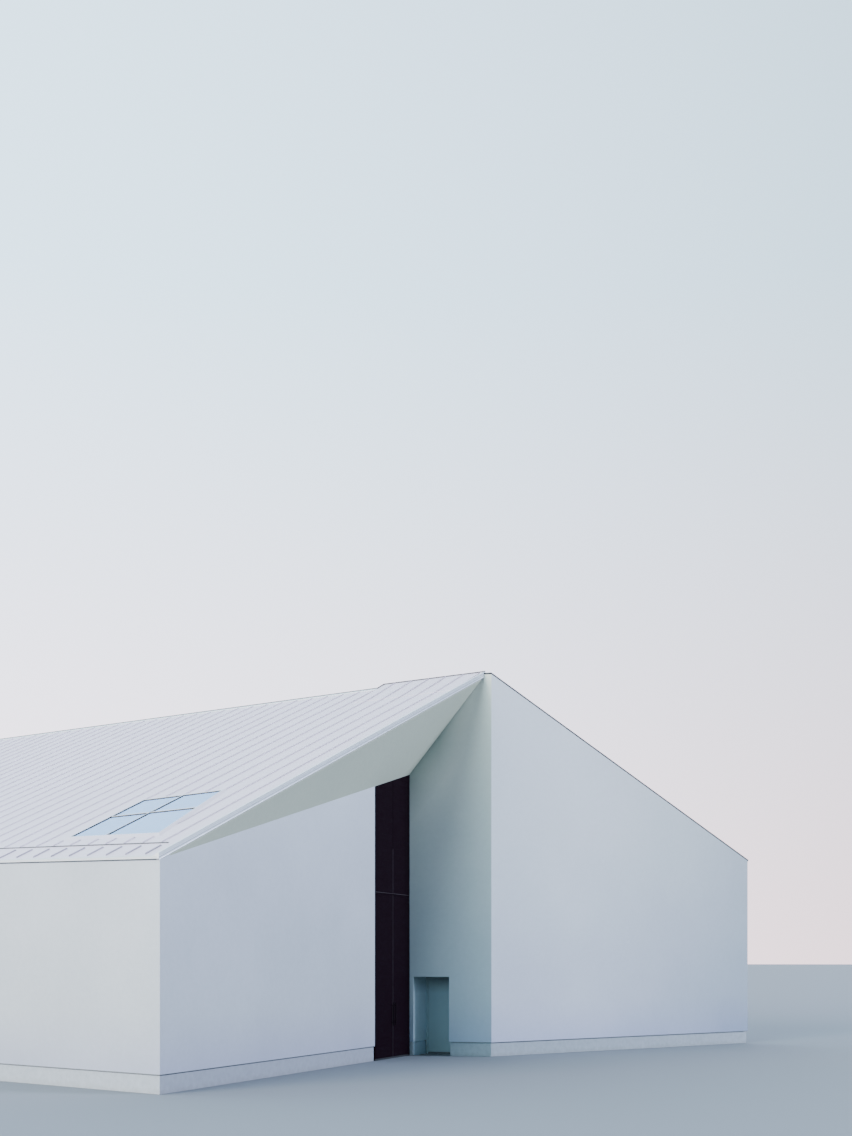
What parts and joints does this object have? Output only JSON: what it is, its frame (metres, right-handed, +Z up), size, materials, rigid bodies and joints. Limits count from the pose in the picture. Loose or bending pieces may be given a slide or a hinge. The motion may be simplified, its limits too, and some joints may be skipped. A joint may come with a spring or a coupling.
{
  "type": "modern church",
  "caption": "White rendered church hall under a low folded metal roof, with a tall dark portal and a recessed side door in its porch.",
  "frame": {"origin": "middle of the building's outline at the level of the ground it stands on", "axes": "+Z up, +Y along the ridge towards the back gable, -Y the front with the porch, +X to the right seen from the front"},
  "size_m": [21.5908, 27.672, 10.18],
  "materials": {
    "render": "fine-grained white mineral render, matt",
    "plinth_render": "white mineral plinth render, matt, slightly coarser",
    "concrete": "ground concrete floor",
    "portal_finish": "near-black burgundy cladding, satin, finely ribbed across",
    "door_paint": "pale blue-grey paint, satin",
    "dark_trim": "dark coated sheet metal",
    "pale_trim": "pale coated sheet metal, folded",
    "roof_metal": "pale coated standing-seam sheet, satin",
    "timber_deck": "plain boards, unfinished",
    "skylight_glass": "clear insulating glass that mirrors the sky"
  },
  "bodies": {
    "building": {"floor_slab": "concrete", "front_left_wall": "render", "front_right_wall": "render", "right_wall": "render", "back_wall": "render", "left_wall": "render", "porch_corner_wall": "render", "porch_right_wall": "render", "wall_over_side_door": "render", "wall_over_portal": "render", "recess_left_wall": "render", "recess_right_wall": "render", "recess_ceiling": "render", "front_left_plinth": "plinth_render", "front_right_plinth": "plinth_render", "right_plinth": "plinth_render", "back_plinth": "plinth_render", "left_plinth": "plinth_render", "porch_corner_plinth": "plinth_render", "porch_right_plinth": "plinth_render", "portal_frame": "portal_finish", "portal_left_upper_panel": "portal_finish", "portal_right_upper_panel": "portal_finish", "portal_sill": "dark_trim", "side_door_frame": "door_paint", "side_door_sill": "dark_trim", "left_roof_deck": "timber_deck", "right_roof_deck": "timber_deck", "left_gutter": "dark_trim", "right_gutter": "dark_trim", "left_roof_sheet": "roof_metal", "right_roof_sheet": "roof_metal", "left_verge_trim": "pale_trim", "front_right_verge_flashing": "dark_trim", "back_verge_flashing": "dark_trim", "ridge_cap": "pale_trim", "raised_ridge_cap": "roof_metal", "porch_soffit": "render", "skylight_frame": "dark_trim", "skylight_pane_low_front": "skylight_glass", "skylight_pane_low_back": "skylight_glass", "skylight_pane_top_front": "skylight_glass", "skylight_pane_top_back": "skylight_glass"},
    "portal_left_door": {"portal_left_leaf": "portal_finish"},
    "portal_right_door": {"portal_right_leaf": "portal_finish"},
    "side_door": {"side_door_leaf": "door_paint"}
  },
  "joints": [
    {"name": "portal_left_hinge", "type": "hinge", "parent": "building", "child": "portal_left_door", "pos_m": [-1.538, -8.3827, 2.1], "axis": [0, 0, 1], "range_deg": [0, 90]},
    {"name": "portal_right_hinge", "type": "hinge", "parent": "building", "child": "portal_right_door", "pos_m": [0.4842, -8.05, 2.1], "axis": [0, 0, -1], "range_deg": [0, 90]},
    {"name": "side_door_hinge", "type": "hinge", "parent": "building", "child": "side_door", "pos_m": [1.4939, -8.1032, 1.05], "axis": [0, 0, 1], "range_deg": [0, 90]}
  ]
}
